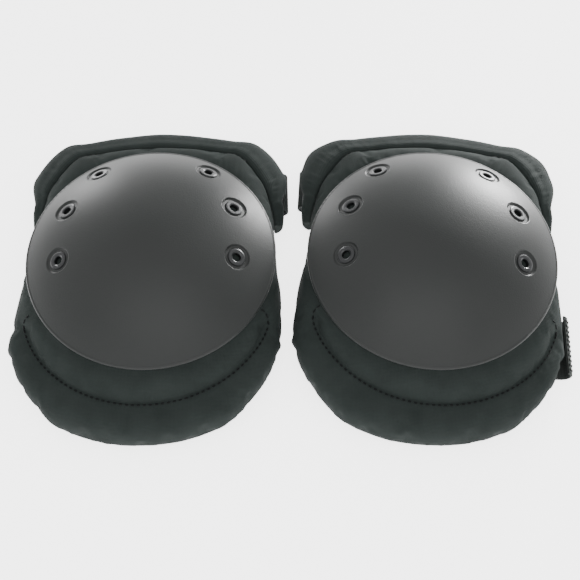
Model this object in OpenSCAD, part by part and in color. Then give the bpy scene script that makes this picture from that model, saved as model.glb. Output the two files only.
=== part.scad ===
// Pair of knee guards lying on their backs: a domed hard cap riveted to a padded woven body,
// with two hook-and-loop elastic straps behind each guard.
// +X runs across the pair, +Y towards the thigh end, +Z up. The left guard is at -X.

/* [Pair] */
// Distance between the two cap centres
guard_spacing = 189; // [188:1:240]
// Turn of the left guard about the vertical, degrees
left_yaw = 1.2; // [0:0.1:2]
// Turn of the right guard about the vertical, degrees
right_yaw = -3.2; // [-3.5:0.1:0]

/* [Cap] */
// Diameter of the cap at its rim
cap_d = 168; // [164:1:170]
// Radius of the dome's outer surface
dome_r = 132; // [130:1:136]
// Height of the rim above the table
rim_z = 42; // [41:1:44]
// Wall thickness of the cap
cap_wall = 2.8; // [2.5:0.1:3]

/* [Eyelets] */
// Distance of the lower pair of eyelets from the cap's axis
low_eyelet_r = 60; // [58:1:62]
// Distance of the middle pair of eyelets from the cap's axis
mid_eyelet_r = 63; // [61:1:65]
// Distance of the upper pair of eyelets from the cap's axis
high_eyelet_r = 72; // [70:1:73]
// Diameter of the round recess around each eyelet
recess_d = 18; // [16:0.5:19]
// Diameter of the eyelet's flange
flange_d = 12.4; // [11:0.2:13]
// Diameter of the hole through the eyelet
eyelet_hole_d = 6; // [5:0.5:7]

/* [Padding] */
// Thickness of the woven front panel
panel_t = 1.4; // [1.2:0.1:1.5]
// Thickness of the foam core
foam_t = 10; // [9:0.5:10]
// Thickness of the back lining
lining_t = 1.4; // [1.2:0.1:1.5]
// Radius of the padded roll along the thigh end
roll_r = 7.5; // [7:0.1:8]

/* [Straps] */
// Width of the upper strap
upper_strap_w = 32; // [28:1:34]
// Width of the lower strap
lower_strap_w = 43; // [38:1:44]
// Thickness of the elastic webbing
strap_t = 1.8; // [1.6:0.1:1.8]
// Length of the strap's turned-back end
end_len = 62; // [58:1:64]
// Diameter of the ring's bars
bar_d = 4.5; // [4:0.1:4.5]

/* [Hidden] */

// Place of the point midway between the caps, which puts the origin under the pair's middle
middle = [0, 5.3];
left_x = middle[0] - guard_spacing / 2;
right_x = middle[0] + guard_spacing / 2;

// Dome: the sphere's centre lies below the table
cap_r = cap_d / 2;
dome_z = rim_z - sqrt(dome_r * dome_r - cap_r * cap_r);
// Radius of the sphere that the padding follows under the cap
pad_r = dome_r - cap_wall - 0.6;
// Radius, from the dome's axis, at which the padding leaves the sphere
sphere_edge = 80;
sphere_angle = asin(sphere_edge / pad_r);
// Share of a section that lies on the sphere
sphere_share = 0.6;

// Eyelet positions: distance from the axis, and angle above the cap's cross line in degrees
eyelet_places = [[low_eyelet_r, -11.5], [mid_eyelet_r, 26], [high_eyelet_r, 58]];
recess_floor = dome_r - 1.5;
flange_t = 1;
washer_t = 0.75;
// Room under the front panel that its bend takes below a flat washer
washer_gap = 0.55;
washer_d = 11.4;
tube_wall = 0.6;

// Gaps between neighbouring layers
layer_gap = 0.2;
foam_out = panel_t + washer_gap + washer_t + layer_gap + 0.1;
foam_in = foam_out + foam_t;
lining_out = foam_in + layer_gap;
lining_in = lining_out + lining_t;
// Share of the thickness that is left at the padding's edge
edge_share = 0.58;

// Edge of the front panel on the inner side, from the thigh end's middle to the shin end's
// middle: x, y, z, and the angle at which the panel dives there
edge_keys = [
    [0, 97, 32.8, 29], [44, 92.5, 32.4, 30], [61, 86.5, 33, 32], [76, 66, 30, 38],
    [82, 49, 24.5, 48], [84, 32, 18.5, 60], [84.2, 12, 15.5, 70], [88.5, -12, 14, 72],
    [91, -35, 13.5, 70], [91.3, -57, 12.5, 66], [84.5, -78, 11, 60], [72, -96, 9.5, 55],
    [55, -111.5, 7.5, 52], [28, -121.5, 7, 50], [0, -124.5, 7, 50]
];
half = len(edge_keys) - 1;
// How far the soft shin end leans towards the outer side, left and right
leans = [5, -0.5];
function leaned(p, lean) = [p[0] - lean * max(0, min(1, (20 - p[1]) / 80)), p[1], p[2], p[3]];
function mirrored(p) = [-p[0], p[1], p[2], p[3]];
// Closed ring of edge points: down the inner side and back up the outer side
ring_n = 2 * half;
function ring_at(i, lean) =
    let (k = ((i % ring_n) + ring_n) % ring_n)
    leaned(k <= half ? edge_keys[k] : mirrored(edge_keys[ring_n - k]), lean);
// Smooth curve through the ring points (Catmull-Rom)
function spline(a, b, c, d, f) =
    0.5 * (2 * b + (c - a) * f + (2 * a - 5 * b + 4 * c - d) * f * f
    + (3 * b - a - 3 * c + d) * f * f * f);
function edge(t, lean) =
    let (i = floor(t))
    spline(
        ring_at(i - 1, lean), ring_at(i, lean), ring_at(i + 1, lean), ring_at(i + 2, lean), t - i
    );

// A section through the dome's axis, as [radius, height, normal radius, normal height]
function on_sphere(angle) =
    [pad_r * sin(angle), dome_z + pad_r * cos(angle), sin(angle), cos(angle)];
function bezier(p, f) =
    pow(1 - f, 3) * p[0] + 3 * pow(1 - f, 2) * f * p[1] + 3 * (1 - f) * f * f * p[2]
    + pow(f, 3) * p[3];
function bezier_slope(p, f) =
    pow(1 - f, 2) * (p[1] - p[0]) + 2 * (1 - f) * f * (p[2] - p[1]) + f * f * (p[3] - p[2]);
function flank_points(e) =
    let (
        start = [pad_r * sin(sphere_angle), dome_z + pad_r * cos(sphere_angle)],
        stop = [norm([e[0], e[1]]), e[2]],
        reach = norm(stop - start) / 3
    )
    [start, start + reach * [cos(sphere_angle), -sin(sphere_angle)],
     stop - reach * [cos(e[3]), -sin(e[3])], stop];
function on_flank(e, f) =
    let (p = flank_points(e), q = bezier(p, f), d = bezier_slope(p, f), m = d / norm(d))
    [q[0], q[1], -m[1], m[0]];
function section(e, s) =
    s <= sphere_share ? on_sphere(sphere_angle * s / sphere_share)
    : on_flank(e, (s - sphere_share) / (1 - sphere_share));
// Share of the full thickness at a place along the section
function thickness_share(s) = s < 0.7 ? 1 : 1 - (1 - edge_share) * pow((s - 0.7) / 0.3, 2);
// Point of the padding, depth millimetres behind the front panel's face
function pad_point(t, s, depth, lean) =
    let (
        e = edge(t, lean),
        q = section(e, s),
        a = atan2(e[1], e[0]),
        d = depth * thickness_share(s),
        r = q[0] - q[2] * d
    )
    [r * cos(a), r * sin(a), q[1] - q[3] * d];

// Steps around the edge and out along a section
around = 42;
along = [0.16, 0.32, 0.42, 0.51, 0.6, 0.7, 0.8, 0.9, 1];
rows = len(along);

// Padding layer between two depths: a top skin, a bottom skin and the edge that joins them
module pad_layer(outer, inner, lean) {
    depths = [outer, inner];
    side_points = 1 + rows * around;
    points = [
        for (depth = depths)
            for (k = [0 : side_points - 1])
                k == 0 ? pad_point(0, 0, depth, lean)
                : let (row = floor((k - 1) / around), col = (k - 1) % around)
                  pad_point(col * ring_n / around, along[row], depth, lean)
    ];
    function at(skin, row, col) = skin * side_points + 1 + row * around + col % around;
    fans = [
        for (skin = [0, 1])
            for (c = [0 : around - 1])
                skin == 0 ? [0, at(0, 0, c), at(0, 0, c + 1)]
                : [side_points, at(1, 0, c + 1), at(1, 0, c)]
    ];
    skins = [
        for (skin = [0, 1])
            for (row = [0 : rows - 2])
                for (c = [0 : around - 1])
                    for (tri = [0, 1])
                        let (
                            a = at(skin, row, c),
                            b = at(skin, row, c + 1),
                            d = at(skin, row + 1, c),
                            e = at(skin, row + 1, c + 1)
                        )
                        skin == 0 ? (tri == 0 ? [a, d, e] : [a, e, b])
                        : (tri == 0 ? [a, e, d] : [a, b, e])
    ];
    walls = [
        for (c = [0 : around - 1])
            for (tri = [0, 1])
                let (
                    a = at(0, rows - 1, c),
                    b = at(0, rows - 1, c + 1),
                    d = at(1, rows - 1, c),
                    e = at(1, rows - 1, c + 1)
                )
                tri == 0 ? [a, d, e] : [a, e, b]
    ];
    polyhedron(points, concat(fans, skins, walls), convexity = 6);
}

// The flat-oval roll hangs on the panel's edge from one side to the other over the thigh end
roll_span = 4.8;
roll_rings = 26;
roll_sides = 10;
// Half width of the roll across its seam at each edge point, widest at the corners
roll_halves = [10.5, 10, 12.2, 11.8, 5.4, 5, 5];
// Extra half width at the roll's two corners
roll_corner = 2;
// Steepest slope at which the roll lies across its seam
roll_tilt = 24;
function roll_half(t) =
    let (i = floor(abs(t)), f = abs(t) - i)
    roll_halves[i] + (roll_halves[i + 1] - roll_halves[i]) * f * f * (3 - 2 * f)
    + roll_corner * exp(-pow((abs(t) - 2.5) / 0.4, 2));
function roll_center(t) =
    let (
        e = edge(t, 0),
        a = atan2(e[1], e[0]),
        slope = min(e[3], roll_tilt),
        across = roll_half(t) + 0.3,
        below = roll_r - 1.6,
        r = norm([e[0], e[1]]) + cos(slope) * across - sin(slope) * below
    )
    [r * cos(a), r * sin(a), e[2] - sin(slope) * across - cos(slope) * below];
// The roll thins out over its last stretch at both sides
function roll_size(t) =
    let (f = min(1, (roll_span - abs(t)) / 0.9))
    0.62 + 0.38 * f * (2 - f);
// Point of the roll's oval, inset millimetres inside its skin
function roll_point(t, angle, inset) =
    let (
        e = edge(t, 0),
        a = atan2(e[1], e[0]),
        slope = min(e[3], roll_tilt),
        c = roll_center(t),
        across = (roll_half(t) * roll_size(t) - inset) * cos(angle),
        rise = (roll_r * roll_size(t) - inset) * sin(angle),
        out = across * cos(slope) + rise * sin(slope)
    )
    c + [out * cos(a), out * sin(a), rise * cos(slope) - across * sin(slope)];
function roll_place(i) = roll_span * (2 * i / (roll_rings - 1) - 1);
// Points of one skin of the roll, without the given number of rings at each end
function roll_grid(inset, left_out) = [
    for (i = [left_out : roll_rings - 1 - left_out])
        for (k = [0 : roll_sides - 1])
            roll_point(roll_place(i), 360 * k / roll_sides, inset)
];
// Triangles of one skin along the roll, facing away from its middle, or towards it if flipped
function roll_skin(first, rings, flipped) = [
    for (i = [0 : rings - 2])
        for (k = [0 : roll_sides - 1])
            for (tri = [0, 1])
                let (
                    n = (k + 1) % roll_sides,
                    a = first + i * roll_sides + k,
                    b = first + i * roll_sides + n,
                    c = first + (i + 1) * roll_sides + k,
                    d = first + (i + 1) * roll_sides + n,
                    face = tri == 0 ? [a, d, c] : [a, b, d]
                )
                flipped ? [face[0], face[2], face[1]] : face
];
// Solid bar along the roll, one ring shorter than the sleeve at each end
module roll_bar(inset) {
    rings = roll_rings - 2;
    count = rings * roll_sides;
    ends = [
        for (k = [0 : roll_sides - 1])
            for (last = [0, 1])
                let (n = (k + 1) % roll_sides, base = count - roll_sides)
                last == 0 ? [count, n, k] : [count + 1, base + k, base + n]
    ];
    polyhedron(
        concat(
            roll_grid(inset, 1),
            [roll_center(roll_place(1)), roll_center(roll_place(roll_rings - 2))]
        ),
        concat(roll_skin(0, rings, false), ends),
        convexity = 6
    );
}
// Open-ended sleeve along the roll
module roll_sleeve(wall) {
    count = roll_rings * roll_sides;
    lips = [
        for (k = [0 : roll_sides - 1])
            for (last = [0, 1])
                for (tri = [0, 1])
                    let (
                        n = (k + 1) % roll_sides,
                        base = last * (count - roll_sides),
                        a = base + k,
                        b = base + n,
                        c = count + base + k,
                        d = count + base + n,
                        face = tri == 0 ? [a, c, d] : [a, d, b]
                    )
                    last == 0 ? face : [face[0], face[2], face[1]]
    ];
    polyhedron(
        concat(roll_grid(0, 0), roll_grid(wall, 0)),
        concat(roll_skin(0, roll_rings, false), roll_skin(count, roll_rings, true), lips),
        convexity = 8
    );
}

// Straps: side views in X and Z, extruded to the strap's width along Y
fabric_gap = 0.1;
bar_r = bar_d / 2;
bar_z = 4.3;
turn_r = bar_r + fabric_gap + strap_t / 2;
top_run_z = bar_z + turn_r;
low_run_z = bar_z - turn_r;
patch_t = 1;
patch_gap = 0.2;
// Middle height of the strap where it lies on its turned-back end
lapped_z = low_run_z + strap_t + 2 * patch_t + patch_gap;
// Middle height of the strap where it lies on the table
table_z = strap_t / 2;
upper_y = 71;
// The left guard's lower strap lies nearer the cap than the right guard's
lower_ys = [-39, -47.5];
// X of the ring's two bars: the tab's bar and the strap's bar
ring_pitch = 18;
upper_tab_x = -79;
lower_tab_x = -84;
upper_bar_x = upper_tab_x + ring_pitch;
lower_bar_x = lower_tab_x + ring_pitch;
// Where the strap turns under the inner side: X, height and radius of the turn
upper_turn = [88.4, 5.1];
lower_turns = [[78, 3.6], [81, 3.6]];
tab_t = 1.8;
// Radius of the ring's bends, along the middle of its bars
ring_bend = 3.5;

function arc(center, r, from, to, steps) =
    [for (i = [0 : steps]) let (a = from + (to - from) * i / steps)
        center + r * [cos(a), sin(a)]];
function ease(f) = f * f * (3 - 2 * f);
function ramp(x0, z0, x1, z1, steps) =
    [for (i = [1 : steps]) let (f = i / steps) [x0 + (x1 - x0) * f, z0 + (z1 - z0) * ease(f)]];
function unit(v) = v / norm(v);
function side_of(path, i) =
    let (
        n = len(path) - 1,
        d = unit(path[min(n, i + 1)] - path[max(0, i - 1)])
    )
    [-d[1], d[0]];
// Ribbon of one thickness along a side-view path, extruded to its width
module ribbon(path, t, w, y) {
    n = len(path) - 1;
    left = [for (i = [0 : n]) path[i] + side_of(path, i) * t / 2];
    right = [for (i = [n : -1 : 0]) path[i] - side_of(path, i) * t / 2];
    translate([0, y + w / 2, 0])
        rotate([90, 0, 0])
            linear_extrude(w)
                polygon(concat(left, right));
}
// The strap's long run: round the inner side, along the table, and up on to the ring's bar
function strap_path(turn, start, bar_x) =
    let (r = turn[1] - table_z, lap_end = bar_x + end_len + 4)
    concat(
        arc(turn, r, start, -90, 12),
        [[lap_end + 26, table_z]],
        ramp(lap_end + 26, table_z, lap_end, lapped_z, 8),
        [[bar_x + 32, lapped_z]],
        ramp(bar_x + 32, lapped_z, bar_x + 16, top_run_z, 6),
        [[bar_x + 5, top_run_z]]
    );
// The strap's end: round the bar and back under the strap
function end_path(bar_x) =
    concat(arc([bar_x, bar_z], turn_r, 90, 270, 14), [[bar_x + end_len, low_run_z]]);

upper_path = strap_path(upper_turn, 70, upper_bar_x);
hook_len = 28;

module hook_patch(bar_x, y, w) {
    color("#202224")
        translate([bar_x + end_len - hook_len - 2, y - w / 2 + 2, low_run_z + strap_t / 2])
            cube([hook_len, w - 4, patch_t]);
}
module loop_patch(bar_x, y, w) {
    color("#27292b")
        translate([bar_x + end_len - hook_len - 5, y - w / 2 + 1.5, lapped_z - strap_t / 2 - patch_t])
            cube([hook_len + 6, w - 3, patch_t]);
}
// Moulded ring: two long bars and two short ones, joined by quarter bends
module ring_frame(tab_x, bar_x, y, w) {
    half_long = (w + 2 + bar_d) / 2;
    half_short = (bar_x - tab_x) / 2;
    color("#2b2c2e")
        translate([(tab_x + bar_x) / 2, y, bar_z]) {
            for (side = [-1, 1]) {
                translate([side * half_short, half_long - ring_bend, 0])
                    rotate([90, 0, 0])
                        cylinder(h = 2 * (half_long - ring_bend), r = bar_r, $fn = 32);
                translate([-half_short + ring_bend, side * half_long, 0])
                    rotate([0, 90, 0])
                        cylinder(h = 2 * (half_short - ring_bend), r = bar_r, $fn = 32);
            }
            for (quarter = [0 : 3])
                let (x_side = quarter % 3 == 0 ? 1 : -1, y_side = quarter < 2 ? 1 : -1)
                translate([x_side * (half_short - ring_bend), y_side * (half_long - ring_bend), 0])
                    rotate([0, 0, 90 * quarter])
                        rotate_extrude(angle = 90, $fn = 48)
                            translate([ring_bend, 0])
                                circle(r = bar_r, $fn = 32);
        }
}
// Webbing tabs folded round the ring's bar, with both legs sewn to the padding
tab_turn_r = bar_r + fabric_gap + tab_t / 2;
upper_tab_path = concat(
    [[upper_tab_x + 3.7, 12.7]],
    arc([upper_tab_x, bar_z], tab_turn_r, 135, 345, 14),
    [[upper_tab_x + 6.3, 12]]
);
// The lower tab turns under at the padding's outer side, and bulges past it on the right guard:
// x of the turn, its radius and the angle at which it starts
bulges = [[-88, 3.2, 100], [-90.6, 5.8, 118]];
function lower_tab_path(bulge) =
    concat(
        arc([bulge[0], bar_z - tab_turn_r + bulge[1]], bulge[1], bulge[2], 270, 12),
        arc([lower_tab_x, bar_z], tab_turn_r, -90, 90, 12),
        [[lower_tab_x - 3, bar_z + tab_turn_r + 0.15]]
    );

// Cap: a dome with a rolled lip, six recesses and six holes
module at_eyelets() {
    translate([0, 0, dome_z])
        for (place = eyelet_places)
            for (side = [place[1], 180 - place[1]])
                rotate([0, 0, side])
                    rotate([0, asin(place[0] / dome_r), 0])
                        children();
}
// Half of the dome's wall, ending in a rolled lip
lip_r = cap_wall / 2 + 0.3;
lip_middle = dome_r - cap_wall / 2;
lip_angle = asin((cap_r - lip_r) / lip_middle);
module dome_section() {
    intersection() {
        difference() {
            circle(r = dome_r, $fn = 240);
            circle(r = dome_r - cap_wall, $fn = 240);
        }
        polygon([[0, 0], [0, 2 * dome_r], 2 * dome_r * [sin(lip_angle), cos(lip_angle)]]);
    }
    translate(lip_middle * [sin(lip_angle), cos(lip_angle)])
        circle(r = lip_r, $fn = 32);
}
// Cutter for one recess, with a rounded foot and shoulder
module recess_cut() {
    r = recess_d / 2;
    translate([0, 0, recess_floor])
        rotate_extrude($fn = 48)
            polygon([
                [0, 0], [r - 1.1, 0], [r - 0.6, 0.3], [r - 0.3, 0.8], [r, 1.08],
                [r + 0.7, 1.28], [r + 2, 1.4], [r + 2, 10], [0, 10]
            ]);
}
module cap() {
    color("#55575a")
        difference() {
            translate([0, 0, dome_z])
                rotate_extrude($fn = 180)
                    dome_section();
            at_eyelets() {
                recess_cut();
                translate([0, 0, recess_floor - 10])
                    cylinder(h = 12, d = eyelet_hole_d + 2 * tube_wall + 0.2, $fn = 48);
            }
        }
}
module eyelets() {
    tube_r = eyelet_hole_d / 2 + tube_wall;
    foot = pad_r - panel_t - washer_gap - washer_t - 0.1;
    color("#1d1e20")
        at_eyelets()
            rotate_extrude($fn = 48)
                polygon([
                    [eyelet_hole_d / 2, foot],
                    [tube_r, foot],
                    [tube_r, recess_floor + 0.02],
                    [flange_d / 2 - 0.4, recess_floor + 0.02],
                    [flange_d / 2, recess_floor + 0.3],
                    [flange_d / 2 - 0.2, recess_floor + 0.75],
                    [flange_d / 2 - 0.9, recess_floor + flange_t],
                    [tube_r + 0.3, recess_floor + flange_t],
                    [eyelet_hole_d / 2, recess_floor + flange_t - 0.5]
                ]);
}
module eyelet_washers() {
    color("#8b8d90")
        at_eyelets()
            translate([0, 0, pad_r - panel_t - washer_gap - washer_t])
                difference() {
                    cylinder(h = washer_t, d = washer_d, $fn = 48);
                    translate([0, 0, -1])
                        cylinder(h = washer_t + 2, d = eyelet_hole_d + 2 * tube_wall + 0.1, $fn = 48);
                }
}
module front_panel(lean) {
    color("#343a38")
        difference() {
            pad_layer(0, panel_t, lean);
            at_eyelets()
                translate([0, 0, pad_r - 8])
                    cylinder(h = 16, d = eyelet_hole_d + 2 * tube_wall + 0.2, $fn = 24);
        }
}
module foam_pad(lean) {
    color("#c9c6ba")
        pad_layer(foam_out, foam_in, lean);
}
module back_lining(lean) {
    color("#26282a")
        pad_layer(lining_out, lining_in, lean);
}
module roll_cover() {
    color("#343a38")
        roll_sleeve(1);
}
module roll_core() {
    color("#c9c6ba")
        roll_bar(1.3);
}
module upper_strap() {
    color("#232625")
        ribbon(upper_path, strap_t, upper_strap_w, upper_y);
}
module lower_strap(turn, y) {
    color("#232625")
        ribbon(strap_path(turn, 95, lower_bar_x), strap_t, lower_strap_w, y);
}
module upper_strap_end() {
    color("#232625")
        ribbon(end_path(upper_bar_x), strap_t, upper_strap_w, upper_y);
}
module lower_strap_end(y) {
    color("#232625")
        ribbon(end_path(lower_bar_x), strap_t, lower_strap_w, y);
}
module upper_tab() {
    color("#2a2d2c")
        ribbon(upper_tab_path, tab_t, upper_strap_w - 2, upper_y);
}
module lower_tab(bulge, y) {
    color("#2a2d2c")
        ribbon(lower_tab_path(bulge), tab_t, lower_strap_w, y);
}
module upper_ring() {
    ring_frame(upper_tab_x, upper_bar_x, upper_y, upper_strap_w);
}
module lower_ring(y) {
    ring_frame(lower_tab_x, lower_bar_x, y, lower_strap_w);
}

// One guard's frame, from its own axes to its place on the table
module place_left() {
    translate([left_x, middle[1], 0])
        rotate([0, 0, left_yaw])
            children();
}
module place_right() {
    translate([right_x, middle[1], 0])
        rotate([0, 0, right_yaw])
            mirror([1, 0, 0])
                children();
}
// One named sub-part of a guard, side 0 for the left guard and 1 for the right
module piece(name, side) {
    lean = leans[side];
    y = lower_ys[side];
    if (name == "cap") cap();
    if (name == "eyelets") eyelets();
    if (name == "eyelet_washers") eyelet_washers();
    if (name == "front_panel") front_panel(lean);
    if (name == "foam_pad") foam_pad(lean);
    if (name == "back_lining") back_lining(lean);
    if (name == "roll_cover") roll_cover();
    if (name == "roll_core") roll_core();
    if (name == "upper_strap") upper_strap();
    if (name == "upper_tab") upper_tab();
    if (name == "upper_ring") upper_ring();
    if (name == "upper_strap_end") upper_strap_end();
    if (name == "upper_hook_patch") hook_patch(upper_bar_x, upper_y, upper_strap_w);
    if (name == "upper_loop_patch") loop_patch(upper_bar_x, upper_y, upper_strap_w);
    if (name == "lower_strap") lower_strap(lower_turns[side], y);
    if (name == "lower_tab") lower_tab(bulges[side], y);
    if (name == "lower_ring") lower_ring(y);
    if (name == "lower_strap_end") lower_strap_end(y);
    if (name == "lower_hook_patch") hook_patch(lower_bar_x, y, lower_strap_w);
    if (name == "lower_loop_patch") loop_patch(lower_bar_x, y, lower_strap_w);
}

place_left() piece("cap", 0);  // left_cap
place_left() piece("eyelets", 0);  // left_eyelets
place_left() piece("eyelet_washers", 0);  // left_eyelet_washers
place_left() piece("front_panel", 0);  // left_front_panel
place_left() piece("foam_pad", 0);  // left_foam_pad
place_left() piece("back_lining", 0);  // left_back_lining
place_left() piece("roll_cover", 0);  // left_roll_cover
place_left() piece("roll_core", 0);  // left_roll_core
place_left() piece("upper_strap", 0);  // left_upper_strap
place_left() piece("upper_tab", 0);  // left_upper_tab
place_left() piece("upper_ring", 0);  // left_upper_ring
place_left() piece("upper_strap_end", 0);  // left_upper_strap_end
place_left() piece("upper_hook_patch", 0);  // left_upper_hook_patch
place_left() piece("upper_loop_patch", 0);  // left_upper_loop_patch
place_left() piece("lower_strap", 0);  // left_lower_strap
place_left() piece("lower_tab", 0);  // left_lower_tab
place_left() piece("lower_ring", 0);  // left_lower_ring
place_left() piece("lower_strap_end", 0);  // left_lower_strap_end
place_left() piece("lower_hook_patch", 0);  // left_lower_hook_patch
place_left() piece("lower_loop_patch", 0);  // left_lower_loop_patch
place_right() piece("cap", 1);  // right_cap
place_right() piece("eyelets", 1);  // right_eyelets
place_right() piece("eyelet_washers", 1);  // right_eyelet_washers
place_right() piece("front_panel", 1);  // right_front_panel
place_right() piece("foam_pad", 1);  // right_foam_pad
place_right() piece("back_lining", 1);  // right_back_lining
place_right() piece("roll_cover", 1);  // right_roll_cover
place_right() piece("roll_core", 1);  // right_roll_core
place_right() piece("upper_strap", 1);  // right_upper_strap
place_right() piece("upper_tab", 1);  // right_upper_tab
place_right() piece("upper_ring", 1);  // right_upper_ring
place_right() piece("upper_strap_end", 1);  // right_upper_strap_end
place_right() piece("upper_hook_patch", 1);  // right_upper_hook_patch
place_right() piece("upper_loop_patch", 1);  // right_upper_loop_patch
place_right() piece("lower_strap", 1);  // right_lower_strap
place_right() piece("lower_tab", 1);  // right_lower_tab
place_right() piece("lower_ring", 1);  // right_lower_ring
place_right() piece("lower_strap_end", 1);  // right_lower_strap_end
place_right() piece("lower_hook_patch", 1);  // right_lower_hook_patch
place_right() piece("lower_loop_patch", 1);  // right_lower_loop_patch
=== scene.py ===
import math

import bmesh
import bpy
import numpy as np
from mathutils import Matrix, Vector, noise
from mathutils.bvhtree import BVHTree

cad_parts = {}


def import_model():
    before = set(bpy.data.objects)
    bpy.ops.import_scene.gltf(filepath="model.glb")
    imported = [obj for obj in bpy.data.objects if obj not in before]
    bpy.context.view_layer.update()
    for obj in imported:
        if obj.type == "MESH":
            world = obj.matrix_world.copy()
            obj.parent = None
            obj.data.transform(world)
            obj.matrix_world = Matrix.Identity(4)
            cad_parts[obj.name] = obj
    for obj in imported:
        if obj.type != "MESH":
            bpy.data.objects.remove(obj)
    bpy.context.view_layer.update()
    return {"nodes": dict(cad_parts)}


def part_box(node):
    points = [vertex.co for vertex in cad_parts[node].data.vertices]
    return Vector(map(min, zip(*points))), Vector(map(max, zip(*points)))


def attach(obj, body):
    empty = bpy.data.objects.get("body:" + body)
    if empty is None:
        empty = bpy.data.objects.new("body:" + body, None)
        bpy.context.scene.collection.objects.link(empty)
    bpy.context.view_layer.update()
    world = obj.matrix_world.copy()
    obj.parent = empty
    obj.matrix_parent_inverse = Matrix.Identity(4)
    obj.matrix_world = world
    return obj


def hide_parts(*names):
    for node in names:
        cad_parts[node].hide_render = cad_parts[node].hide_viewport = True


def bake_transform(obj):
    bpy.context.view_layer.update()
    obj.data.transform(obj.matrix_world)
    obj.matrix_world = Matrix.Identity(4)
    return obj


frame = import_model()
scene = bpy.context.scene
SIDES = ("left", "right")

# ---------------------------------------------------------------- sizes, in millimetres
MM = 0.001
YAW = {"left": 1.2, "right": -3.2}
LEAN = {"left": 5.0, "right": -0.5}
FLIP = {"left": 1, "right": -1}
DOME_R = 132.0
cap_low, cap_high = (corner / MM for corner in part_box("left_cap"))
CAP_R = (cap_high.x - cap_low.x) / 2
DOME_Z = cap_high.z - DOME_R
# The padding's front follows a sphere under the cap's wall, with a small gap
CAP_WALL, PAD_GAP = 2.8, 0.6
PAD_R = DOME_R - CAP_WALL - PAD_GAP
SPHERE_EDGE = 80.0
SPHERE_ANGLE = math.asin(SPHERE_EDGE / PAD_R)
# Share of a section that lies on the sphere, and of the thickness that is left at the edge
SPHERE_SHARE = 0.6
EDGE_SHARE = 0.58
# Depths behind the front panel's face
FOAM_IN, LINING_OUT, LINING_IN = 13.0, 13.2, 14.6
# Roll: height radius, reach either way along the edge, and steepest slope across its seam
ROLL_R, ROLL_SPAN, ROLL_TILT = 7.5, 4.8, 24
# How far the roll's crest stands above its seam, and how far its seam lies below the crest's line
ROLL_CREST, ROLL_PINCH = 1.6, 2.3
# Half width across its seam at each edge point
ROLL_HALVES = (10.5, 10, 12.2, 11.8, 5.4, 5, 5)
# Extra half width at the roll's corners
ROLL_CORNER = {"left": 0.6, "right": 3.4}
# Edge of the front panel down the inner side: x, y, z and dive angle
EDGE_KEYS = np.array([
    [0, 97, 32.8, 29], [44, 92.5, 32.4, 30], [61, 86.5, 33, 32], [76, 66, 30, 38],
    [82, 49, 24.5, 48], [84, 32, 18.5, 60], [84.2, 12, 15.5, 70], [88.5, -12, 14, 72],
    [91, -35, 13.5, 70], [91.3, -57, 12.5, 66], [84.5, -78, 11, 60], [72, -96, 9.5, 55],
    [55, -111.5, 7.5, 52], [28, -121.5, 7, 50], [0, -124.5, 7, 50]])
RING = 2 * (len(EDGE_KEYS) - 1)
# The curved seam across the shin lobe: centre, half width, half height, half angle
SEAM = (-3, -28, 84, 73, 75)
# Relief of the front: depth of the seam's groove, extra depth at its ends, height of the lobe
GROOVE, GROOVE_END, LOBE = 2.5, 1.4, 2.0
THREAD_R = 0.68
# Cloth of the padding's cover: frames, air pressure, growth, and the most that a point may move
FRAMES, PRESSURE, GROWTH, MOST_MOVE = 20, 4.0, 0.012, 2.5
# Straps: bar height, turn radius, webbing thickness
BAR_Z, TURN_R, STRAP_T, TAB_T = 4.3, 3.25, 1.8, 1.8
UPPER = dict(y=71, w=32, tab_x=-79, bar_x=-61, turn=(88.4, 5.1), start=70)
LOWER = dict(w=43, tab_x=-84, bar_x=-66, start=95)
STRAPS = {
    "left": {
        "upper": UPPER, "lower": dict(LOWER, y=-39, turn=(78, 3.6), bulge=(-88, 3.2, 100))},
    "right": {
        "upper": UPPER, "lower": dict(LOWER, y=-47.5, turn=(81, 3.6), bulge=(-90.6, 5.8, 118))},
}
END_LEN, HOOK_LEN, PATCH_T = 62, 28, 1.0
LOW_Z = BAR_Z - TURN_R
LAPPED_Z = LOW_Z + STRAP_T + 2 * PATCH_T + 0.2


def centre(side):
    """Middle of a guard's cap in plan, in metres."""
    low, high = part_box(side + "_cap")
    return (low.x + high.x) / 2, (low.y + high.y) / 2


def world(side, points):
    """A guard's own millimetres to metres in the row frame."""
    p = np.array(points, float).reshape(-1, 3) * MM * (FLIP[side], 1, 1)
    c, s = math.cos(math.radians(YAW[side])), math.sin(math.radians(YAW[side]))
    x, y = centre(side)
    return np.stack([x + c * p[:, 0] - s * p[:, 1], y + s * p[:, 0] + c * p[:, 1], p[:, 2]], 1)


# ---------------------------------------------------------------- the padding's shape
def ring_keys(lean):
    back = EDGE_KEYS[-2:0:-1] * (-1, 1, 1, 1)
    keys = np.vstack([EDGE_KEYS, back])
    keys[:, 0] -= lean * np.clip((20 - keys[:, 1]) / 80, 0, 1)
    return keys


def edge(t, lean):
    """The front panel's edge: x, y, z and dive angle, t running once round in RING steps."""
    keys = ring_keys(lean)
    i = np.floor(t).astype(int)
    f = (t - i)[:, None]
    a, b, c, d = (keys[(i + k) % RING] for k in (-1, 0, 1, 2))
    return 0.5 * (2 * b + (c - a) * f + (2 * a - 5 * b + 4 * c - d) * f ** 2
                  + (3 * b - a - 3 * c + d) * f ** 3)


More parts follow.
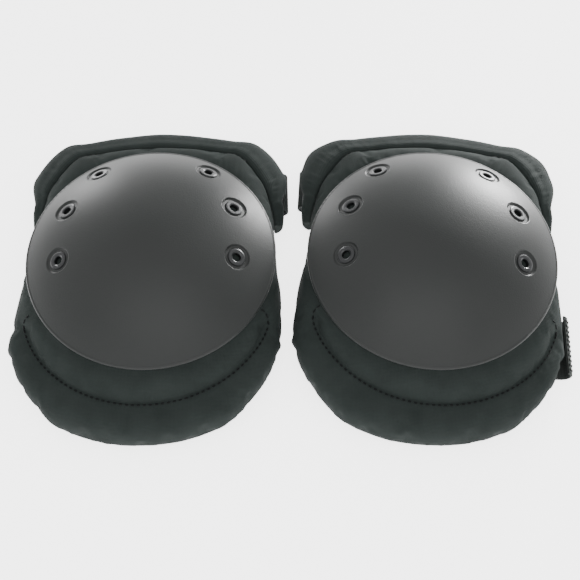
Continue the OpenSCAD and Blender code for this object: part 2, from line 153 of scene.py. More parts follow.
def section(e, s):
    """A section through the dome's axis: radius, height and the normal, at share s."""
    start = np.array([PAD_R * math.sin(SPHERE_ANGLE), DOME_Z + PAD_R * math.cos(SPHERE_ANGLE)])
    stop = np.stack([np.hypot(e[:, 0], e[:, 1]), e[:, 2]], 1)
    reach = np.linalg.norm(stop - start, axis=1, keepdims=True) / 3
    dive = np.radians(e[:, 3])
    p1 = start + reach * (math.cos(SPHERE_ANGLE), -math.sin(SPHERE_ANGLE))
    p2 = stop - reach * np.stack([np.cos(dive), -np.sin(dive)], 1)
    f = np.clip((s - SPHERE_SHARE) / (1 - SPHERE_SHARE), 0, None)[:, None]
    g = 1 - f
    point = g ** 3 * start + 3 * g ** 2 * f * p1 + 3 * g * f ** 2 * p2 + f ** 3 * stop
    slope = g ** 2 * (p1 - start) + 2 * g * f * (p2 - p1) + f ** 2 * (stop - p2)
    slope /= np.linalg.norm(slope, axis=1, keepdims=True)
    flank = np.column_stack([point, -slope[:, 1], slope[:, 0]])
    angle = SPHERE_ANGLE * s / SPHERE_SHARE
    ball = np.stack([PAD_R * np.sin(angle), DOME_Z + PAD_R * np.cos(angle),
                     np.sin(angle), np.cos(angle)], 1)
    return np.where((s <= SPHERE_SHARE)[:, None], ball, flank)


def pad_at(t, s, depth, lean):
    """Point of the padding depth millimetres behind its face, and the face's normal there."""
    e = edge(t, lean)
    q = section(e, s)
    a = np.arctan2(e[:, 1], e[:, 0])
    ca, sa = np.cos(a), np.sin(a)
    r = q[:, 0] - q[:, 2] * depth
    return (np.stack([r * ca, r * sa, q[:, 1] - q[:, 3] * depth], 1),
            np.stack([q[:, 2] * ca, q[:, 2] * sa, q[:, 3]], 1))


def smooth(low, high, x):
    f = np.clip((np.asarray(x, float) - low) / (high - low), 0, 1)
    return f * f * (3 - 2 * f)


def share(s):
    return np.where(s < 0.7, 1, 1 - (1 - EDGE_SHARE) * ((s - 0.7) / 0.3) ** 2)


def grain(points, size, seed=0.0):
    """Smooth noise from -1 to 1 at points, size millimetres to a feature."""
    return np.array([noise.noise(Vector(p) / size + Vector((seed, 3 * seed, 7))) for p in points])


def seam_distance(x, y):
    """Signed distance from the curved seam, positive outside it, and the angle from its bottom."""
    cx, cy, rx, ry, _ = SEAM
    u, v = (x - cx) / rx, (y - cy) / ry
    k = np.hypot(u, v)
    slope = np.hypot(u / rx, v / ry) / np.maximum(k, 1e-6)
    return (k - 1) / np.maximum(slope, 1e-6), np.degrees(np.arctan2(u, -v))


def relief(p, t, s):
    """How far the front fabric stands out from the padding's plain shape, in millimetres."""
    d, angle = seam_distance(p[:, 0], p[:, 1])
    here = 1 - smooth(SEAM[4] - 3, SEAM[4] + 5, np.abs(angle))
    ends = np.exp(-((np.abs(angle) - SEAM[4] + 6) / 9) ** 2)
    deep = GROOVE + GROOVE_END * ends
    wide = 1.7 + 2.0 * ends
    groove = -deep * np.exp(-(d / wide) ** 2) * here
    lobe = smooth(3, 11, d) * (1 - smooth(0.9, 1.0, s)) * here * LOBE
    inner = np.exp(-((d + 8) / 6) ** 2) * here * 0.8
    clear = smooth(CAP_R - 3, CAP_R + 6, np.hypot(p[:, 0], p[:, 1]))
    soft = grain(p, 26, 1) * 0.6 + grain(p, 9, 2) * 0.22
    pucker = grain(p, 4.2, 5) * 0.35 * np.exp(-(d / 5) ** 2) * here
    rim_t = np.abs((t + RING / 2) % RING - RING / 2)
    hem = np.exp(-((1 - s) / 0.05) ** 2) * smooth(4.4, 5.2, rim_t)
    sewn = np.exp(-((1 - s) / 0.035) ** 2) * (1 - smooth(4.4, 5.0, rim_t))
    corner = np.exp(-((rim_t - 9.05) / 0.16) ** 2) * np.exp(-((1 - s) / 0.06) ** 2)
    return ((groove + lobe + inner + soft + pucker) * clear + hem * grain(p, 7, 8) * 0.5
            - sewn * 1.1 + corner * 1.6)


# ---------------------------------------------------------------- meshes
def grid_faces(rows, cols, closed):
    r = np.arange(rows - 1)[:, None] * cols
    c = np.arange(cols if closed else cols - 1)[None, :]
    d = (c + 1) % cols
    return np.stack([r + c, r + cols + c, r + cols + d, r + d], -1).reshape(-1, 4).tolist()


def make(name, side, points, faces, material, uv=None):
    """A mesh piece from a guard's own millimetres, its faces turned outwards."""
    mesh = bpy.data.meshes.new(name)
    mesh.from_pydata(world(side, points).tolist(), [], faces)
    bm = bmesh.new()
    bm.from_mesh(mesh)
    if bm.calc_volume(signed=True) < 0:
        mesh.flip_normals()
    bm.free()
    mesh.shade_smooth()
    if uv is not None:
        corners = np.empty(len(mesh.loops), np.int32)
        mesh.loops.foreach_get("vertex_index", corners)
        layer = mesh.uv_layers.new(name="fabric")
        spots = (np.asarray(uv, float) * MM)[corners]
        layer.data.foreach_set("uv", spots.astype(np.float32).ravel())
    mesh.materials.append(material)
    piece = bpy.data.objects.new(name, mesh)
    scene.collection.objects.link(piece)
    return piece


def shell(lean, outer, inner, around, inside, front, nose, back):
    """Rows of (t, s, depth) for a closed layer: out along its front, round its edge and back."""
    t = np.arange(around) * RING / around
    e = edge(t, lean)
    flank = 1.02 * np.hypot(np.hypot(e[:, 0], e[:, 1]) - SPHERE_EDGE,
                            e[:, 2] - DOME_Z - PAD_R * math.cos(SPHERE_ANGLE))
    per_mm = (1 - SPHERE_SHARE) / flank
    bend = (inner - outer) * EDGE_SHARE / 2
    stop = 1 - bend * per_mm
    inside = np.array(inside)
    out, home = (
        np.concatenate([inside, inside[-1] + (1 - inside[-1]) * np.arange(1, steps + 1) / steps])
        for steps in (front, back))
    rows = [(t, q * stop, outer * share(q * stop)) for q in out]
    for k in range(1, nose):
        a = math.pi * k / nose
        rows.append((t, stop + bend * per_mm * math.sin(a),
                     share(stop) * (outer + (inner - outer) * (1 - math.cos(a)) / 2)))
    rows += [(t, q * stop, inner * share(q * stop)) for q in home[::-1]]
    place = np.concatenate([out, 1 + np.arange(1, nose) / nose, 3 - home[::-1]])
    return [np.array(part) for part in zip(*rows)], place


def padding(side, outer, inner, displace=None, around=336, front=44, nose=10, back=10, push=None):
    """A closed layer of padding: points, faces, fabric coordinates and where each point lies."""
    lean = LEAN[side]
    (t, s, depth), place = shell(lean, outer, inner, around, (0.2, 0.38, 0.5), front, nose, back)
    flat = [part.ravel() for part in (t, s, depth)]
    points, normals = pad_at(*flat, lean)
    if displace:
        fade = 1 - smooth(1, 1.7, np.repeat(place, around))
        points = points + normals * (displace(points, flat[0], flat[1]) * fade)[:, None]
    if push:
        points = points + spread(*push, place, t[0])
    grid = points.reshape(len(t), around, 3)
    step = np.linalg.norm(np.diff(grid, axis=0), axis=2)
    reach = np.vstack([np.full(around, 16.0), 16 + np.cumsum(step, axis=0)])
    a = np.arctan2(points[:, 1], points[:, 0])
    uv = np.stack([reach.ravel() * np.cos(a), reach.ravel() * np.sin(a)], 1)
    faces = grid_faces(len(t), around, True)
    last = len(points) - around
    poles = [[0, 0, grid[0, :, 2].mean()], [0, 0, grid[-1, :, 2].mean()]]
    faces += [[len(points), (k + 1) % around, k] for k in range(around)]
    faces += [[len(points) + 1, last + k, last + (k + 1) % around] for k in range(around)]
    return (np.vstack([points, poles]), faces, np.vstack([uv, [[0, 0], [0, 0]]])), (place, flat)


def spread(moves, from_place, from_t, place, t):
    """Movements found on a coarse padding grid, carried to a fine one."""
    rows = np.stack([[np.interp(place, from_place, moves[:, c, k]) for k in range(3)]
                     for c in range(moves.shape[1])])
    ring = np.concatenate([rows, rows[:1]])
    knots = np.append(from_t, RING)
    out = np.empty((len(place), len(t), 3))
    for r in range(len(place)):
        for k in range(3):
            out[r, :, k] = np.interp(t, knots, ring[:, k, r])
    return out.reshape(-1, 3)


def inflate(points, faces, pins):
    """Each point's movement in a cloth simulation of a cover, pinned where it is sewn or held."""
    size = 0.01  # simulated at ten times real size
    mesh = bpy.data.meshes.new("cloth")
    mesh.from_pydata((points * size).tolist(), [], faces)
    bm = bmesh.new()
    bm.from_mesh(mesh)
    if bm.calc_volume(signed=True) < 0:
        mesh.flip_normals()
    bm.free()
    cover = bpy.data.objects.new("cloth", mesh)
    scene.collection.objects.link(cover)
    group = cover.vertex_groups.new(name="pins")
    for i in np.nonzero(pins > 0.01)[0]:
        group.add([int(i)], float(pins[i]), "REPLACE")
    cloth = cover.modifiers.new("cloth", "CLOTH").settings
    cloth.vertex_group_mass = "pins"
    cloth.quality = 6
    cloth.mass = 0.15
    cloth.use_pressure = True
    cloth.uniform_pressure_force = PRESSURE
    cloth.shrink_min = -GROWTH
    cloth.effector_weights.gravity = 0
    cover.modifiers["cloth"].point_cache.frame_end = FRAMES
    for f in range(1, FRAMES + 1):
        scene.frame_set(f)
    shape = cover.evaluated_get(bpy.context.evaluated_depsgraph_get()).data
    found = np.empty(len(points) * 3)
    shape.vertices.foreach_get("co", found)
    moves = found.reshape(-1, 3) / size - points
    bpy.data.objects.remove(cover)
    scene.frame_set(1)
    far = np.linalg.norm(moves, axis=1, keepdims=True)
    return moves * np.minimum(1, MOST_MOVE / np.maximum(far, 1e-6))


def padded_push(side):
    """How the body's cover swells between its seams, from a simulation on a coarse grid."""
    around = 168
    (points, faces, _), (place, (t, s, _)) = padding(side, 0, FOAM_IN, relief, around, 26, 6, 6)
    grid = points[:-2]
    d, angle = seam_distance(grid[:, 0], grid[:, 1])
    on_seam = (np.abs(d) < 2.2) & (np.abs(angle) < SEAM[4])
    under_cap = np.hypot(grid[:, 0], grid[:, 1]) < CAP_R + 2
    rim_t = np.abs((t + RING / 2) % RING - RING / 2)
    behind = np.repeat(place, around) > 1.35
    held = on_seam | under_cap | behind | ((s > 0.955) & (rim_t < ROLL_SPAN))
    moves = inflate(points, faces, np.append(held.astype(float), [1, 1]))
    moves = moves[:-2].reshape(len(place), around, 3)
    return moves, place, np.arange(around) * RING / around


def capsules(starts, ends, normals, radius):
    """Stitches: short rounded threads from start to end, as one mesh."""
    rings, sides = 5, 7
    points, faces = [], []
    for a, b, n in zip(starts, ends, normals):
        along = b - a
        length = np.linalg.norm(along)
        along = along / length
        across = np.cross(n, along)
        base = len(points)
        for i in range(rings):
            f = i / (rings - 1)
            r = radius * math.sqrt(max(0.12, 1 - (2 * f - 1) ** 4))
            lift = -0.35 * radius * (2 * f - 1) ** 2
            for k in range(sides):
                g = 2 * math.pi * k / sides
                points.append(a + along * length * f + across * r * math.cos(g)
                              + n * (r * math.sin(g) + lift))
        points += [a - along * radius * 0.3, b + along * radius * 0.3]
        top = base + rings * sides
        faces += [[base + v for v in quad] for quad in grid_faces(rings, sides, True)]
        faces += [[top, base + (k + 1) % sides, base + k] for k in range(sides)]
        far = base + (rings - 1) * sides
        faces += [[top + 1, far + k, far + (k + 1) % sides] for k in range(sides)]
    return np.array(points), faces


def on_surface(tree, x, y):
    """Height and normal of a guard's front at a place in plan."""
    spot, normal, _, _ = tree.ray_cast(Vector((x, y, 200)), Vector((0, 0, -1)))
    return None if spot is None else (np.array(spot), np.array(normal))


def stitch_line(tree, plan, length=2.3, gap=1.5, sink=0.05):
    """Stitches along a line drawn in plan on a surface: starts, ends and normals."""
    plan = np.array(plan, float)
    run = np.concatenate([[0], np.cumsum(np.linalg.norm(np.diff(plan, axis=0), axis=1))])
    count = max(1, int(run[-1] / (length + gap)))
    starts, ends, normals = [], [], []
    for i in range(count):
        d0 = i * run[-1] / count
        found = [on_surface(tree, *(np.interp(d, run, plan[:, k]) for k in (0, 1)))
                 for d in (d0, d0 + length)]
        if None in found:
            continue
        (a, na), (b, nb) = found
        n = (na + nb) / np.linalg.norm(na + nb)
        starts.append(a - n * sink)
        ends.append(b - n * sink)
        normals.append(n)
    return starts, ends, normals


# ---------------------------------------------------------------- straps
def arc(middle, r, start, stop, steps):
    a = np.radians(np.linspace(start, stop, steps + 1))
    return np.stack([middle[0] + r * np.cos(a), middle[1] + r * np.sin(a)], 1)


def ramp(x0, z0, x1, z1, steps):
    f = np.arange(1, steps + 1) / steps
    return np.stack([x0 + (x1 - x0) * f, z0 + (z1 - z0) * f * f * (3 - 2 * f)], 1)


def strap_path(m):
    table = STRAP_T / 2
    lap, top = m["bar_x"] + END_LEN + 4, BAR_Z + TURN_R
    return np.vstack([arc(m["turn"], m["turn"][1] - table, m["start"], -90, 16),
                      [[lap + 26, table]], ramp(lap + 26, table, lap, LAPPED_Z, 10),
                      [[m["bar_x"] + 32, LAPPED_Z]],
                      ramp(m["bar_x"] + 32, LAPPED_Z, m["bar_x"] + 16, top, 8),
                      [[m["bar_x"] + 5, top]]])


def end_path(m):
    return np.vstack([arc((m["bar_x"], BAR_Z), TURN_R, 90, 270, 18),
                      [[m["bar_x"] + END_LEN, LOW_Z]]])


def tab_path(m, level):
    bar = m["tab_x"], BAR_Z
    if level == "upper":
        return np.vstack([[[m["tab_x"] + 3.7, 12.7]],
                          arc(bar, TURN_R, 135, 345, 20), [[m["tab_x"] + 6.3, 12]]])
    x, bend, start = m["bulge"]
    return np.vstack([arc((x, BAR_Z - TURN_R + bend), bend, start, 270, 16),
                      arc(bar, TURN_R, -90, 90, 16),
                      [[m["tab_x"] - 3, BAR_Z + TURN_R + 0.15]]])


def even(path, pitch):
    """The same line with points pitch apart."""
    run = np.concatenate([[0], np.cumsum(np.linalg.norm(np.diff(path, axis=0), axis=1))])
    d = np.linspace(0, run[-1], max(2, int(run[-1] / pitch)) + 1)
    return np.stack([np.interp(d, run, path[:, k]) for k in (0, 1)], 1), d


def ribbon(path, y, width, thick, pitch=1.2, across=24, ribs=0.0, rib_pitch=2.4):
    """Flat webbing with round edges along a side-view line: points, faces, fabric coordinates."""
    line, run = even(np.array(path, float), pitch)
    tangent = np.gradient(line, axis=0)
    tangent /= np.linalg.norm(tangent, axis=1, keepdims=True)
    normal = np.stack([-tangent[:, 1], tangent[:, 0]], 1)
    half, r = width / 2, thick / 2
    span = np.linspace(-half + r, half - r, across)
    top = [(v, r - ribs * (0.5 - 0.5 * math.cos(2 * math.pi * v / rib_pitch))) for v in span]
    turn = [(half - r + r * math.sin(a), r * math.cos(a))
            for a in np.radians((30, 60, 90, 120, 150))]
    low = [(v, -h) for v, h in top[::-1]]
    rest = [(-v, -h) for v, h in turn]
    outline = np.array(top + turn + low + rest)
    cols = len(outline)
    grid = np.empty((len(line), cols, 3))
    grid[:, :, 0] = line[:, None, 0] + normal[:, None, 0] * outline[None, :, 1]
    grid[:, :, 1] = y + outline[None, :, 0]
    grid[:, :, 2] = line[:, None, 1] + normal[:, None, 1] * outline[None, :, 1]
    points = grid.reshape(-1, 3)
    faces = grid_faces(len(line), cols, True)
    first, last = len(points), len(points) + 1
    base = (len(line) - 1) * cols
    ends = grid[[0, -1]].mean(axis=1)
    faces += [[first, (k + 1) % cols, k] for k in range(cols)]
    faces += [[last, base + k, base + (k + 1) % cols] for k in range(cols)]
    uv = np.stack([np.repeat(run, cols), np.tile(outline[:, 0], len(line))], 1)
    return np.vstack([points, ends]), faces, np.vstack([uv, [[0, 0], [run[-1], 0]]])


def slab(x0, x1, y, width, z0, z1, bumps, pitch=0.9):
    """A patch of tape with its pile or hooks on the side that bumps says, +1 up or -1 down."""
    nx, ny = int((x1 - x0) / pitch) + 1, int(width / pitch) + 1
    xs, ys = np.linspace(x0, x1, nx), np.linspace(y - width / 2, y + width / 2, ny)
    x, v = (part.ravel() for part in np.meshgrid(xs, ys, indexing="ij"))
    inset = np.minimum.reduce([x - x0, x1 - x, v - (y - width / 2), y + width / 2 - v])
    dip = np.where((np.arange(nx)[:, None] + np.arange(ny)[None, :]) % 2 == 0, 0.0, 0.28).ravel()
    edge_drop = 0.3 * (1 - smooth(0, 1.5, inset))
    high = np.full(x.shape, z1) - (dip + edge_drop if bumps > 0 else 0.3 * edge_drop)
    low = np.full(x.shape, z0) + (dip + edge_drop if bumps < 0 else 0.3 * edge_drop)
    points = np.vstack([np.stack([x, v, high], 1), np.stack([x, v, low], 1)])
    count = nx * ny
    faces = grid_faces(nx, ny, False)
    faces += [[count + k for k in quad[::-1]] for quad in grid_faces(nx, ny, False)]
    border = ([i * ny for i in range(nx)] + [(nx - 1) * ny + j for j in range(1, ny)]
              + [i * ny + ny - 1 for i in range(nx - 2, -1, -1)] + list(range(ny - 2, 0, -1)))
    for a, b in zip(border, border[1:] + border[:1]):
        faces.append([a, b, count + b, count + a])
    return points, faces, np.stack([np.tile(x, 2), np.tile(v, 2)], 1)


# ---------------------------------------------------------------- materials
def material(name, colour, roughness, spec=0.5, metallic=0.0, sheen=0.0):
    made = bpy.data.materials.new(name)
    made.use_nodes = True
    shader = made.node_tree.nodes["Principled BSDF"]
    shader.inputs["Base Color"].default_value = (*colour, 1)
    shader.inputs["Roughness"].default_value = roughness
    shader.inputs["Specular IOR Level"].default_value = spec
    shader.inputs["Metallic"].default_value = metallic
    shader.inputs["Sheen Weight"].default_value = sheen
    shader.inputs["Sheen Roughness"].default_value = 0.5
    return made


def node(made, kind, **values):
    new = made.node_tree.nodes.new(kind)
    for key, value in values.items():
        if key in new.inputs:
            new.inputs[key].default_value = value
        else:
            setattr(new, key, value)
    return new


def link(made, source, target):
    made.node_tree.links.new(source, target)


def speckle(made, scale, strength, distance, detail=3.0, tint=None, coordinates="Object"):
    """Fine noise as a bump, and as a slight change of colour between two tints."""
    shader = made.node_tree.nodes["Principled BSDF"]
    place = node(made, "ShaderNodeTexCoord")
    texture = node(made, "ShaderNodeTexNoise", Scale=scale, Detail=detail)
    bump = node(made, "ShaderNodeBump", Strength=strength, Distance=distance)
    link(made, place.outputs[coordinates], texture.inputs["Vector"])
    link(made, texture.outputs["Fac"], bump.inputs["Height"])
    link(made, bump.outputs["Normal"], shader.inputs["Normal"])
    if tint:
        low = node(made, "ShaderNodeTexNoise", Scale=tint[0], Detail=4.0)
        mix = node(made, "ShaderNodeMix", data_type="RGBA")
        mix.inputs["A"].default_value = (*tint[1], 1)
        mix.inputs["B"].default_value = (*tint[2], 1)
        link(made, place.outputs[coordinates], low.inputs["Vector"])
        link(made, low.outputs["Fac"], mix.inputs["Factor"])
        link(made, mix.outputs["Result"], shader.inputs["Base Color"])
    return bump


def weave(made, pitch, strength, distance, dark, light, ribs=False):
    """Woven cloth: threads along both fabric directions, or ribs along one, over a soft mottle."""
    shader = made.node_tree.nodes["Principled BSDF"]
    place = node(made, "ShaderNodeUVMap", uv_map="fabric")
    threads = []
    for k, direction in enumerate(("X", "Y")):
        wave = node(made, "ShaderNodeTexWave", Scale=314.0 / pitch * (1 if not ribs or k else 0.5),
                    Distortion=0.6, Detail=1.0)
        wave.bands_direction = direction
        link(made, place.outputs["UV"], wave.inputs["Vector"])
        threads.append(wave.outputs["Fac"])
    both = node(made, "ShaderNodeMath", operation="MULTIPLY" if ribs else "ADD")
    link(made, threads[0], both.inputs[0])
    link(made, threads[1], both.inputs[1])
    fuzz = node(made, "ShaderNodeTexNoise", Scale=1100.0, Detail=3.0)
    link(made, place.outputs["UV"], fuzz.inputs["Vector"])
    height = node(made, "ShaderNodeMath", operation="ADD")
    link(made, both.outputs[0], height.inputs[0])
    link(made, fuzz.outputs["Fac"], height.inputs[1])
    bump = node(made, "ShaderNodeBump", Strength=strength, Distance=distance)
    link(made, height.outputs[0], bump.inputs["Height"])
    link(made, bump.outputs["Normal"], shader.inputs["Normal"])
    mottle = node(made, "ShaderNodeTexNoise", Scale=45.0, Detail=6.0)
    link(made, place.outputs["UV"], mottle.inputs["Vector"])
    level = node(made, "ShaderNodeMath", operation="MULTIPLY_ADD")
    link(made, height.outputs[0], level.inputs[0])
    level.inputs[1].default_value = 0.22
    link(made, mottle.outputs["Fac"], level.inputs[2])
    mix = node(made, "ShaderNodeMix", data_type="RGBA")
    mix.inputs["A"].default_value = (*dark, 1)
    mix.inputs["B"].default_value = (*light, 1)
    link(made, level.outputs[0], mix.inputs["Factor"])
    link(made, mix.outputs["Result"], shader.inputs["Base Color"])
    return made


cap_plastic = material("cap_plastic", (0.020, 0.021, 0.021), 0.42, 0.2)
speckle(cap_plastic, 1000.0, 0.35, 0.0002,
        tint=(14.0, (0.015, 0.017, 0.0165), (0.022, 0.023, 0.0225)))
eyelet_metal = material("black_metal", (0.018, 0.019, 0.020), 0.32, 0.6, 0.55)
speckle(eyelet_metal, 700.0, 0.08, 0.0001)
washer_steel = material("plated_steel", (0.42, 0.42, 0.43), 0.35, 0.5, 1.0)
speckle(washer_steel, 500.0, 0.1, 0.0001)
nylon = weave(material("woven_nylon", (0.03, 0.036, 0.034), 0.85, 0.1),
              0.85, 0.5, 0.00022, (0.007, 0.010, 0.009), (0.020, 0.025, 0.0235))
lining = weave(material("lining_fabric", (0.02, 0.022, 0.023), 0.9, 0.1),
               1.3, 0.5, 0.0003, (0.006, 0.007, 0.007), (0.016, 0.018, 0.0185))
webbing = weave(material("elastic_webbing", (0.02, 0.023, 0.022), 0.8, 0.15),
                1.1, 0.7, 0.0003, (0.006, 0.008, 0.0075), (0.018, 0.021, 0.020), ribs=True)
tape = weave(material("tab_webbing", (0.03, 0.034, 0.033), 0.8, 0.2),
             1.2, 0.7, 0.0003, (0.010, 0.013, 0.012), (0.032, 0.036, 0.034), ribs=True)
thread = material("thread", (0.004, 0.005, 0.005), 0.6, 0.12)
speckle(thread, 2500.0, 0.4, 0.0001)
ring_plastic = material("ring_plastic", (0.022, 0.023, 0.024), 0.4, 0.5)
speckle(ring_plastic, 900.0, 0.12, 0.0001)
hook_tape = material("hook_tape", (0.014, 0.015, 0.016), 0.6, 0.5)
speckle(hook_tape, 1800.0, 0.6, 0.0003)
loop_tape = material("loop_tape", (0.022, 0.024, 0.025), 0.95, 0.1, sheen=0.1)
speckle(loop_tape, 1300.0, 0.9, 0.0005)
for side in SIDES:
    for name, made in (("cap", cap_plastic), ("eyelets", eyelet_metal),
                       ("eyelet_washers", washer_steel),
                       ("upper_ring", ring_plastic), ("lower_ring", ring_plastic)):
        part = frame["nodes"][f"{side}_{name}"]
        part.data.materials.clear()
        part.data.materials.append(made)

# ---------------------------------------------------------------- padded body, lining, roll
def roll(side, count=460, sides=48):
    """The padded roll: a flat oval tube, drawn in to its seam, with puckers at both corners."""
    t = np.linspace(-ROLL_SPAN, ROLL_SPAN, count)
    e = edge(t, 0)
    dive = np.radians(np.minimum(e[:, 3], ROLL_TILT))
    a = np.arctan2(e[:, 1], e[:, 0])
    k = np.floor(np.abs(t)).astype(int)
    f = np.abs(t) - k
    halves = np.array(ROLL_HALVES)
    half = halves[k] + (halves[k + 1] - halves[k]) * f * f * (3 - 2 * f)
    half += ROLL_CORNER[side] * np.exp(-((np.abs(t) - 2.5) / 0.4) ** 2)
    f = np.minimum(1, (ROLL_SPAN - np.abs(t)) / 0.9)
    size = 0.62 + 0.38 * f * (2 - f)
    level = np.stack([np.cos(a), np.sin(a), 0 * a], 1)
    up = np.array([0, 0, 1.0])
    across = level * np.cos(dive)[:, None] - up * np.sin(dive)[:, None]
    rise = level * np.sin(dive)[:, None] + up * np.cos(dive)[:, None]
    middle = e[:, :3] + across * (half + 0.3)[:, None] - rise * (ROLL_R - ROLL_CREST)
    angle = np.linspace(0, 2 * math.pi, sides, endpoint=False)
    wide, high = (half * size)[:, None], (ROLL_R * size)[:, None]
    radius = wide * high / np.sqrt((high * np.cos(angle)) ** 2 + (wide * np.sin(angle)) ** 2)
    gap = np.hypot(half + 0.1, ROLL_R - ROLL_PINCH)[:, None]
    pinch = np.arctan2(ROLL_R - ROLL_PINCH, -(half + 0.1))[:, None]
    away = np.abs((angle - pinch + math.pi) % (2 * math.pi) - math.pi)
    run = np.concatenate([[0], np.cumsum(np.linalg.norm(np.diff(middle, axis=0), axis=1))])
    along = np.stack([np.repeat(run, sides), np.tile(angle * 6, count),
                      np.zeros(count * sides)], 1)
    fold, fine, soft = (grain(along * (1, squeeze, 1), feature, seed).reshape(count, sides)
                        for squeeze, feature, seed in ((0.12, 4.2, 11), (0.5, 2.4, 13), (1, 20, 14)))
    corner = (np.exp(-((np.abs(t) - 2.5) / 0.9) ** 2)
              + 0.6 * np.exp(-((np.abs(t) - 4) / 0.6) ** 2))[:, None]
    radius = radius + (gap - radius) * np.exp(-(away / 0.36) ** 2)
    creased = np.exp(-((away - 0.5) / 0.75) ** 2)
    radius += creased * (0.3 + 1.3 * corner) * (fold * 0.85 + fine * 0.25)
    radius += soft * 0.35
    radius = np.where(away < 0.3, np.minimum(radius, gap), radius)
    grid = (middle[:, None, :] + across[:, None, :] * (radius * np.cos(angle))[:, :, None]
            + rise[:, None, :] * (radius * np.sin(angle))[:, :, None])
    faces = grid_faces(count, sides, True)
    base = (count - 1) * sides
    tips = grid[[0, -1]].mean(axis=1) + np.cross(level[[0, -1]], up) * [[-1.5], [1.5]]
    faces += [[count * sides, (k + 1) % sides, k] for k in range(sides)]
    faces += [[count * sides + 1, base + k, base + (k + 1) % sides] for k in range(sides)]
    uv = np.stack([np.repeat(run, sides), np.tile(angle * ROLL_R, count)], 1)
    return np.vstack([grid.reshape(-1, 3), tips]), faces, np.vstack([uv, [[0, 0], [run[-1], 0]]])


for side in SIDES:
    guard = side + "_guard"
    push = padded_push(side)
    (points, faces, uv), _ = padding(side, 0, FOAM_IN, relief, push=push)
    body = make(side + "_padded_body", side, points, faces, nylon, uv)
    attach(body, guard)
    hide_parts(side + "_front_panel", side + "_foam_pad")
    tree = BVHTree.FromPolygons(points.tolist(), faces)

    (back_points, back_faces, back_uv), _ = padding(
        side, LINING_OUT, LINING_IN, None, 224, 16, 4, 24)
    back = make(side + "_back_lining_cloth", side, back_points, back_faces, lining, back_uv)
    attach(back, guard)
    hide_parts(side + "_back_lining")

    roll_points, roll_faces, roll_uv = roll(side)
    border = make(side + "_top_roll", side, roll_points, roll_faces, nylon, roll_uv)
    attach(border, guard)
    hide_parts(side + "_roll_cover", side + "_roll_core")

    # Stitching: the curved seam with its hooked ends, and the roll's seam
    cx, cy, rx, ry, limit = SEAM
    angles = np.radians(np.linspace(-limit, limit, 120))
    curve = np.stack([cx + rx * np.sin(angles), cy - ry * np.cos(angles)], 1)
    rows = [stitch_line(tree, curve)]
    for turn in (-1, 1):
        tip = curve[0] if turn < 0 else curve[-1]
        hook = [tip, tip + (-turn * 0.4, 3.5), tip + (-turn * 2.6, 6.0), tip + (-turn * 5.4, 6.6)]
        rows.append(stitch_line(tree, hook, length=2.2, gap=0.5))
    t = np.linspace(-ROLL_SPAN + 0.25, ROLL_SPAN - 0.25, 200)
    seam_line, _ = pad_at(t, np.full(200, 0.965), np.zeros(200), 0)
    rows.append(stitch_line(tree, seam_line[:, :2], length=3.1, gap=1.4))

    # Two rows of stitches across the webbing tab where it bulges past the padding
    m = STRAPS[side]["lower"]
    x, bend, start = m["bulge"]
    runs = np.arange(m["y"] - m["w"] / 2 + 2, m["y"] + m["w"] / 2 - 3, 3.6)
    for a in np.radians((start + 12, start + 38)):
        out = np.array([math.cos(a), 0, math.sin(a)])
        foot = np.array([x, 0, BAR_Z - TURN_R + bend]) + out * (bend + TAB_T / 2 - 0.1)
        rows.append(([foot + (0, y, 0) for y in runs], [foot + (0, y + 2.5, 0) for y in runs],
                     [out] * len(runs)))
    merged = [np.array(sum((list(row[k]) for row in rows), [])) for k in range(3)]
    thread_points, thread_faces = capsules(*merged, THREAD_R)
    stitching = make(side + "_seam_stitching", side, thread_points, thread_faces, thread)
    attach(stitching, guard)

    for level, m in STRAPS[side].items():
        ring_body, end_body = f"{side}_{level}_ring_body", f"{side}_{level}_end_body"
        points, faces, uv = ribbon(strap_path(m), m["y"], m["w"], STRAP_T, ribs=0.12)
        long_run = make(f"{side}_{level}_strap_webbing", side, points, faces, webbing, uv)
        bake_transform(long_run)
        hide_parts(f"{side}_{level}_strap")
        points, faces, uv = ribbon(end_path(m), m["y"], m["w"], STRAP_T, ribs=0.12)
        tail = make(f"{side}_{level}_strap_tail", side, points, faces, webbing, uv)
        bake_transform(tail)
        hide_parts(f"{side}_{level}_strap_end")
        tab_w = m["w"] - (2 if level == "upper" else 0)
        points, faces, uv = ribbon(tab_path(m, level), m["y"], tab_w, TAB_T, pitch=0.8, ribs=0.15)
        tab = make(f"{side}_{level}_webbing_tab", side, points, faces, tape, uv)
        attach(tab, guard)
        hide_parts(f"{side}_{level}_tab")
        end_x = m["bar_x"] + END_LEN
        low = LOW_Z + STRAP_T / 2
        points, faces, uv = slab(end_x - HOOK_LEN - 2, end_x - 2, m["y"], m["w"] - 4,
                                 low, low + PATCH_T, 1)
        hooks = make(f"{side}_{level}_hook_tape", side, points, faces, hook_tape, uv)
        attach(hooks, end_body)
        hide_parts(f"{side}_{level}_hook_patch")
        high = LAPPED_Z - STRAP_T / 2
        points, faces, uv = slab(end_x - HOOK_LEN - 5, end_x + 1, m["y"], m["w"] - 3,
                                 high - PATCH_T, high, -1)
        loops = make(f"{side}_{level}_loop_tape", side, points, faces, loop_tape, uv)
        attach(loops, guard)
        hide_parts(f"{side}_{level}_loop_patch")

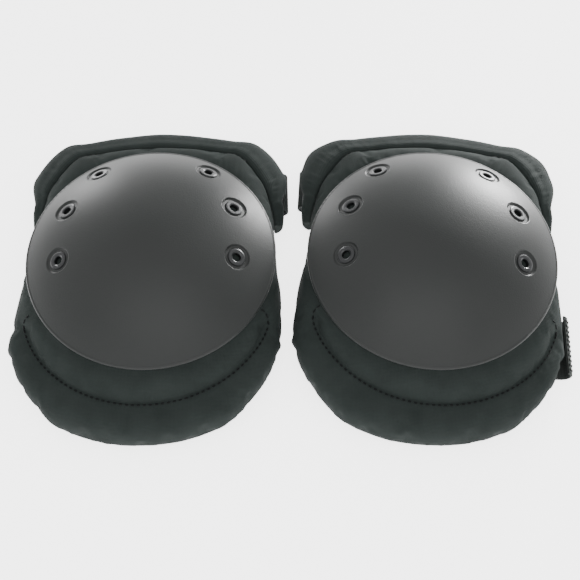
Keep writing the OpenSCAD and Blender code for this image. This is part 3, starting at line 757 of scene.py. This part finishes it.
# ---------------------------------------------------------------- studio
def lamp(name, place, target, size, power, beam=180):
    """Area lamp at a place, turned towards a target, its light held to a beam in degrees."""
    data = bpy.data.lights.new(name, "AREA")
    data.shape = "RECTANGLE"
    data.size, data.size_y = size
    data.energy = power
    data.spread = math.radians(beam)
    lit = bpy.data.objects.new(name, data)
    scene.collection.objects.link(lit)
    lit.location = place
    lit.rotation_mode = "QUATERNION"
    lit.rotation_quaternion = (Vector(target) - Vector(place)).to_track_quat("-Z", "Y")


floor_mesh = bpy.data.meshes.new("studio_floor")
floor_mesh.from_pydata([(-5, -5, 0), (5, -5, 0), (5, 5, 0), (-5, 5, 0)], [], [(0, 1, 2, 3)])
floor = bpy.data.objects.new("studio_floor", floor_mesh)
scene.collection.objects.link(floor)
floor.location.z = -0.0003
paper = material("paper", (0.93, 0.93, 0.93), 0.9, 0.1)
glow = paper.node_tree.nodes["Principled BSDF"].inputs
glow["Emission Color"].default_value = (1, 1, 1, 1)
glow["Emission Strength"].default_value = 3.0
floor_mesh.materials.append(paper)

sky = bpy.data.worlds.new("studio")
sky.use_nodes = True
sky.node_tree.nodes["Background"].inputs["Color"].default_value = (1.0, 1.0, 1.0, 1)
sky.node_tree.nodes["Background"].inputs["Strength"].default_value = 1.5
scene.world = sky
lamp("back_left", (-0.60, 0.85, 0.08), (-0.13, 0.05, 0.05), (0.3, 0.12), 0.12, 30)
lamp("back_right", (0.60, 0.85, 0.08), (0.12, 0.05, 0.05), (0.3, 0.12), 0.9, 30)
lamp("front_top", (0.0, -0.6, 1.4), (0, 0, 0), (1.2, 1.0), 7)

camera_data = bpy.data.cameras.new("camera")
camera_data.lens = 59
camera_data.sensor_width = 36
camera = bpy.data.objects.new("camera", camera_data)
scene.collection.objects.link(camera)
aim = Vector((-0.0011, -0.0217, 0.042))
camera.location = (-0.0011, -0.3161, 0.5956)
camera.rotation_mode = "QUATERNION"
camera.rotation_quaternion = (aim - camera.location).to_track_quat("-Z", "Y")
scene.camera = camera
